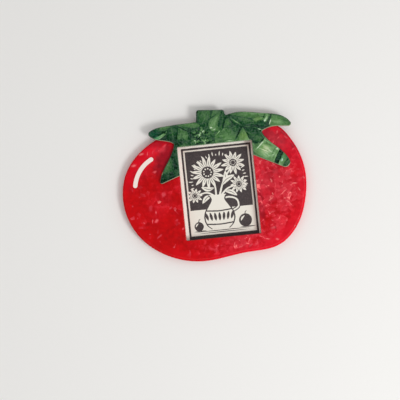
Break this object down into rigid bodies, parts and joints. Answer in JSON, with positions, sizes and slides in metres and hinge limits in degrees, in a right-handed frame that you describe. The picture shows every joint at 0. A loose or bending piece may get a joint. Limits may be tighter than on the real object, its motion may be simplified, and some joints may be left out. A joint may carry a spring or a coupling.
{
  "type": "magnetic photo frame",
  "caption": "Flat tomato-shaped magnetic photo frame of bonded pearl acetate plates, with leaves over the top of an upright picture window and a paper print that slides out from behind.",
  "frame": {"origin": "under the middle of the outline, on the plane of the magnets' faces", "axes": "+X across the frame to the viewer's right, +Y up the frame towards the stem, +Z out of its front"},
  "size_m": [0.099, 0.0807, 0.006],
  "materials": {
    "red_acetate": "polished red cellulose acetate with crushed pearl flakes",
    "green_acetate": "polished green cellulose acetate with large folded pearl facets",
    "white_acetate": "polished warm white acetate",
    "nickel": "nickel plating on neodymium discs",
    "print_paper": "semi-matt photo paper with a black print"
  },
  "bodies": {
    "frame": {"tomato_plate": "red_acetate", "leaf_plate": "green_acetate", "highlight_inlay": "white_acetate", "magnet_upper_left": "nickel", "magnet_upper_right": "nickel", "magnet_lower_left": "nickel", "magnet_lower_right": "nickel"},
    "print": {"photo_print": "print_paper"}
  },
  "joints": [
    {"name": "print_slide", "type": "slide", "parent": "frame", "child": "print", "axis": [0, -1, 0], "range_m": [0, 0.07]}
  ]
}
